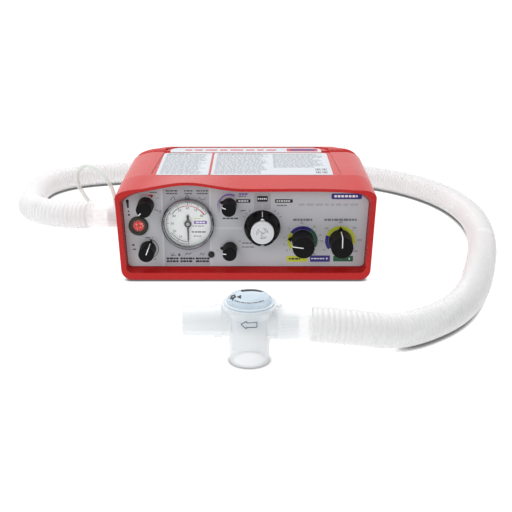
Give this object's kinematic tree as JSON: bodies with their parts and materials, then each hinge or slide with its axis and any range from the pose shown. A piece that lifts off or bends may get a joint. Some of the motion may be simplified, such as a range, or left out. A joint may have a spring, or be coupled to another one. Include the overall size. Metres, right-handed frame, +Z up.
{
  "type": "transport ventilator",
  "caption": "Portable pneumatic ventilator: red case, knobs, pressure gauge and selector on a sloped-brow panel, with a corrugated breathing hose and patient valve.",
  "frame": {"origin": "centre of the case's footprint on the surface that the rubber feet stand on", "axes": "+X to the right of the control panel as its user faces it, +Y towards the rear wall, +Z up"},
  "size_m": [0.5173, 0.5576, 0.0931],
  "materials": {
    "case_red": "glossy moulded plastic",
    "foot_rubber": "matt black",
    "insert_brass": "plain",
    "screw_steel": "bright",
    "label_film": "printed film",
    "overlay_film": "printed film, satin silver grey",
    "panel_aluminium": "anodised",
    "gasket_rubber": "closed-cell",
    "knob_black": "satin black with white index lines",
    "shaft_steel": "ground",
    "bush_brass": "nickel plated",
    "valve_aluminium": "machined",
    "button_white": "white moulded",
    "button_black": "satin",
    "spring_steel": "wire",
    "gauge_metal": "satin grey bezel",
    "gauge_brass": "plain",
    "gauge_glass": "clear",
    "dial_white": "printed dial",
    "needle_black": "matt black",
    "indicator_black": "black ring",
    "indicator_red": "signal red",
    "board_green": "circuit board",
    "manifold_aluminium": "anodised",
    "battery_label": "printed sleeve",
    "holder_black": "moulded",
    "port_plastic": "white moulded",
    "filter_bronze": "sintered",
    "hose_clear": "clear corrugated",
    "cuff_clear": "clear soft cuff",
    "tube_clear": "clear soft tube",
    "valve_clear": "translucent moulded",
    "cap_blue": "clear pale blue",
    "disc_silicone": "silicone"
  },
  "bodies": {
    "case": {"outer_case": "case_red", "rubber_feet": "foot_rubber", "bracket_inserts": "insert_brass", "rear_screws": "screw_steel", "top_labels": "label_film", "front_overlay": "overlay_film", "front_panel": "panel_aluminium", "panel_gasket": "gasket_rubber", "shaft_bushes": "bush_brass", "bush_nuts": "bush_brass", "needle_valve_cartridges": "valve_aluminium", "timing_valve_cartridges": "valve_aluminium", "selector_valve": "valve_aluminium", "silence_switch": "holder_black", "alarm_board": "board_green", "gauge_case": "gauge_metal", "gauge_bezel": "gauge_metal", "gauge_lens": "gauge_glass", "gauge_dial": "dial_white", "gauge_capsule": "gauge_brass", "indicator_ring": "indicator_black", "indicator_lens": "gauge_glass", "indicator_cylinder": "valve_aluminium", "indicator_spring": "spring_steel", "manifold_block": "manifold_aluminium", "chassis_plate": "panel_aluminium", "outlet_port": "port_plastic", "sensing_port": "port_plastic", "gas_inlet": "bush_brass", "pressure_regulator": "valve_aluminium", "inlet_filter": "filter_bronze", "battery_holder": "holder_black", "battery": "battery_label", "machine_cuff": "cuff_clear", "breathing_hose": "hose_clear", "valve_cuff": "cuff_clear", "sensing_tube": "tube_clear", "valve_body": "valve_clear", "valve_cap": "cap_blue"},
    "relief": {"relief_knob": "knob_black", "relief_shaft": "shaft_steel"},
    "mix": {"mix_knob": "knob_black", "mix_shaft": "shaft_steel"},
    "flow": {"flow_knob": "knob_black", "flow_shaft": "shaft_steel"},
    "peep": {"peep_knob": "knob_black", "peep_shaft": "shaft_steel"},
    "frequency": {"frequency_knob": "knob_black", "frequency_shaft": "shaft_steel"},
    "volume": {"volume_knob": "knob_black", "volume_shaft": "shaft_steel"},
    "selector": {"selector_knob": "knob_black", "selector_shaft": "shaft_steel"},
    "trigger": {"trigger_button": "button_white", "trigger_spring": "spring_steel"},
    "silence": {"silence_button": "button_black"},
    "needle": {"gauge_needle": "needle_black"},
    "supply_disc": {"indicator_disc": "indicator_red"},
    "battery_door": {"battery_cover": "case_red"},
    "valve_flap": {"valve_disc": "disc_silicone"}
  },
  "joints": [
    {"name": "relief_turn", "type": "hinge", "parent": "case", "child": "relief", "pos_m": [-0.09, -0.073, 0.0703], "axis": [0, 1, 0], "range_deg": [0, 260]},
    {"name": "mix_turn", "type": "hinge", "parent": "case", "child": "mix", "pos_m": [-0.0896, -0.073, 0.0286], "axis": [0, 1, 0], "range_deg": [0, 130]},
    {"name": "flow_turn", "type": "hinge", "parent": "case", "child": "flow", "pos_m": [-0.0149, -0.073, 0.0702], "axis": [0, 1, 0], "range_deg": [0, 250]},
    {"name": "peep_turn", "type": "hinge", "parent": "case", "child": "peep", "pos_m": [-0.0146, -0.073, 0.0286], "axis": [0, 1, 0], "range_deg": [0, 240]},
    {"name": "selector_turn", "type": "hinge", "parent": "case", "child": "selector", "pos_m": [0.0149, -0.073, 0.0489], "axis": [0, 1, 0], "range_deg": [-55, 55]},
    {"name": "trigger_press", "type": "slide", "parent": "selector", "child": "trigger", "axis": [0, 1, 0], "range_m": [0, 0.003], "stiffness_N_per_m": 600, "springref_m": -0.002, "deforming": ["trigger_spring"]},
    {"name": "frequency_turn", "type": "hinge", "parent": "case", "child": "frequency", "pos_m": [0.0517, -0.073, 0.0364], "axis": [0, 1, 0], "range_deg": [-30, 210]},
    {"name": "volume_turn", "type": "hinge", "parent": "case", "child": "volume", "pos_m": [0.0862, -0.073, 0.0364], "axis": [0, 1, 0], "range_deg": [-120, 120]},
    {"name": "silence_press", "type": "slide", "parent": "case", "child": "silence", "axis": [0, 1, 0], "range_m": [0, 0.0012], "stiffness_N_per_m": 500, "springref_m": -0.001},
    {"name": "needle_sweep", "type": "hinge", "parent": "case", "child": "needle", "pos_m": [-0.0525, -0.073, 0.0525], "axis": [0, 1, 0], "range_deg": [0, 235], "stiffness_Nm_per_rad": 0.00002, "springref_deg": -20.05},
    {"name": "supply_disc_rise", "type": "slide", "parent": "case", "child": "supply_disc", "axis": [0, 1, 0], "range_m": [0, 0.003], "stiffness_N_per_m": 60, "springref_m": -0.003, "deforming": ["indicator_spring"]},
    {"name": "battery_door_swing", "type": "hinge", "parent": "case", "child": "battery_door", "pos_m": [-0.035, 0.0799, 0.0145], "axis": [-1, 0, 0], "range_deg": [0, 95]},
    {"name": "valve_flap_lift", "type": "slide", "parent": "case", "child": "valve_flap", "axis": [0, 0, 1], "range_m": [0, 0.003]}
  ]
}
